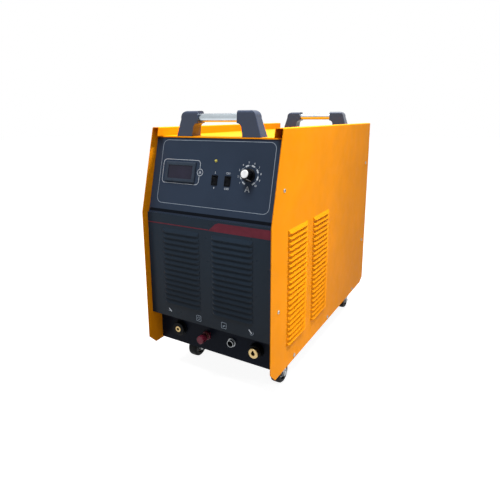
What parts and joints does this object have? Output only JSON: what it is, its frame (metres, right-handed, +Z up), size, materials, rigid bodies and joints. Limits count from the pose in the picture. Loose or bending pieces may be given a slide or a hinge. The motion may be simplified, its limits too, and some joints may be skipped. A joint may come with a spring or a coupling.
{
  "type": "plasma cutter unit",
  "caption": "Inverter plasma cutter cabinet on swivel casters, with louvered covers, a sloping control panel, front connectors, a rear fan and two carrying handles.",
  "frame": {"origin": "on the floor under the middle of the cabinet", "axes": "+X to the right-hand cover, -Y to the front panel, +Z up"},
  "size_m": [0.3292, 0.666, 0.618],
  "materials": {
    "orange_paint": "satin powder coat",
    "panel_paint": "satin powder coat, slightly blue",
    "dark_paint": "satin powder coat, slightly blue",
    "handle_plastic": "satin moulded nylon",
    "handle_aluminium": "bright drawn tube",
    "plated_screws": "nickel plated",
    "zinc_plate": "zinc plated",
    "caster_rubber": "moulded rubber",
    "meter_plastic": "fine grained",
    "meter_window": "smoked acrylic",
    "led_amber": "tinted lens",
    "black_plastic": "moulded black",
    "white_plastic": "smooth white",
    "pot_metal": "plated",
    "red_plastic": "moulded dark red",
    "brass": "turned",
    "chrome": "nickel-chrome plate",
    "guard_wire": "chrome plated wire",
    "sink_aluminium": "extruded",
    "module_plastic": "moulded black",
    "circuit_board": "green solder mask",
    "ferrite": "sintered ferrite",
    "coil_tape": "insulating tape over copper foil"
  },
  "bodies": {
    "cabinet": {"left_side_cover": "orange_paint", "right_side_cover": "orange_paint", "top_plate": "orange_paint", "upper_front_panel": "panel_paint", "lower_front_panel": "dark_paint", "connector_panel": "dark_paint", "rear_panel": "dark_paint", "base_plate": "dark_paint", "front_handle_left_leg": "handle_plastic", "front_handle_right_leg": "handle_plastic", "rear_handle_left_leg": "handle_plastic", "rear_handle_right_leg": "handle_plastic", "front_handle_tube": "handle_aluminium", "rear_handle_tube": "handle_aluminium", "cover_screws": "plated_screws", "hex_bolts": "plated_screws", "caster_plates": "zinc_plate", "meter_bezel": "meter_plastic", "meter_window": "meter_window", "indicator_led": "led_amber", "switch_housings": "black_plastic", "torch_connector_body": "black_plastic", "work_socket_flange": "black_plastic", "fan_frame": "black_plastic", "breaker_body": "black_plastic", "cable_gland": "black_plastic", "control_socket_insert": "black_plastic", "potentiometer": "pot_metal", "pilot_terminal_base": "red_plastic", "torch_connector_insert": "brass", "pilot_terminal_stud": "brass", "work_socket_insert": "brass", "air_inlet_nipple": "brass", "air_solenoid_valve": "brass", "control_socket_shell": "chrome", "fan_guard": "guard_wire", "heat_sink": "sink_aluminium", "power_modules": "module_plastic", "filter_capacitors": "module_plastic", "power_board": "circuit_board", "control_board": "circuit_board", "transformer_core": "ferrite", "transformer_coil": "coil_tape"},
    "front_left_swivel": {"front_left_caster_fork": "zinc_plate"},
    "front_left_wheel": {"front_left_caster_wheel": "caster_rubber"},
    "front_right_swivel": {"front_right_caster_fork": "zinc_plate"},
    "front_right_wheel": {"front_right_caster_wheel": "caster_rubber"},
    "rear_left_swivel": {"rear_left_caster_fork": "zinc_plate"},
    "rear_left_wheel": {"rear_left_caster_wheel": "caster_rubber"},
    "rear_right_swivel": {"rear_right_caster_fork": "zinc_plate"},
    "rear_right_wheel": {"rear_right_caster_wheel": "caster_rubber"},
    "left_rocker": {"left_switch_rocker": "black_plastic"},
    "right_rocker": {"right_switch_rocker": "black_plastic"},
    "current_knob": {"current_knob": "black_plastic", "current_knob_cap": "white_plastic", "potentiometer_shaft": "pot_metal"},
    "pilot_washer": {"pilot_terminal_washer": "brass"},
    "pilot_cap": {"pilot_terminal_cap": "red_plastic"},
    "fan_rotor": {"fan_rotor": "black_plastic"},
    "breaker_toggle": {"breaker_toggle": "black_plastic"}
  },
  "joints": [
    {"name": "front_left_swivel_turn", "type": "hinge", "parent": "cabinet", "child": "front_left_swivel", "pos_m": [-0.117, -0.222, 0.07], "axis": [0, 0, 1], "continuous": true},
    {"name": "front_left_wheel_spin", "type": "hinge", "parent": "front_left_swivel", "child": "front_left_wheel", "pos_m": [-0.117, -0.202, 0.025], "axis": [1, 0, 0], "continuous": true},
    {"name": "front_right_swivel_turn", "type": "hinge", "parent": "cabinet", "child": "front_right_swivel", "pos_m": [0.117, -0.222, 0.07], "axis": [0, 0, 1], "continuous": true},
    {"name": "front_right_wheel_spin", "type": "hinge", "parent": "front_right_swivel", "child": "front_right_wheel", "pos_m": [0.117, -0.202, 0.025], "axis": [1, 0, 0], "continuous": true},
    {"name": "rear_left_swivel_turn", "type": "hinge", "parent": "cabinet", "child": "rear_left_swivel", "pos_m": [-0.117, 0.247, 0.07], "axis": [0, 0, 1], "continuous": true},
    {"name": "rear_left_wheel_spin", "type": "hinge", "parent": "rear_left_swivel", "child": "rear_left_wheel", "pos_m": [-0.117, 0.267, 0.025], "axis": [1, 0, 0], "continuous": true},
    {"name": "rear_right_swivel_turn", "type": "hinge", "parent": "cabinet", "child": "rear_right_swivel", "pos_m": [0.117, 0.247, 0.07], "axis": [0, 0, 1], "continuous": true},
    {"name": "rear_right_wheel_spin", "type": "hinge", "parent": "rear_right_swivel", "child": "rear_right_wheel", "pos_m": [0.117, 0.267, 0.025], "axis": [1, 0, 0], "continuous": true},
    {"name": "left_rocker_tilt", "type": "hinge", "parent": "cabinet", "child": "left_rocker", "pos_m": [0.0075, -0.29072, 0.47696], "axis": [1, 0, 0], "range_deg": [-20, 0]},
    {"name": "right_rocker_tilt", "type": "hinge", "parent": "cabinet", "child": "right_rocker", "pos_m": [0.039, -0.29072, 0.47696], "axis": [1, 0, 0], "range_deg": [-20, 0]},
    {"name": "current_knob_turn", "type": "hinge", "parent": "cabinet", "child": "current_knob", "pos_m": [0.088, -0.28888, 0.49199], "axis": [0, -0.9679, 0.2512], "range_deg": [0, 290]},
    {"name": "pilot_clamp_slide", "type": "slide", "parent": "cabinet", "child": "pilot_washer", "axis": [0, -1, 0], "range_m": [0, 0.005]},
    {"name": "pilot_cap_turn", "type": "hinge", "parent": "pilot_washer", "child": "pilot_cap", "pos_m": [-0.0246, -0.302, 0.118], "axis": [0, -1, 0], "range_deg": [0, 1800]},
    {"name": "fan_rotor_spin", "type": "hinge", "parent": "cabinet", "child": "fan_rotor", "pos_m": [0, 0.2925, 0.299], "axis": [0, 1, 0], "continuous": true},
    {"name": "breaker_toggle_throw", "type": "hinge", "parent": "cabinet", "child": "breaker_toggle", "pos_m": [0.07, 0.312, 0.477], "axis": [1, 0, 0], "range_deg": [0, 64]}
  ],
  "couplings": [
    {"joint": "pilot_cap_turn", "follows": "pilot_clamp_slide", "rad_per_m": 6283.2}
  ]
}
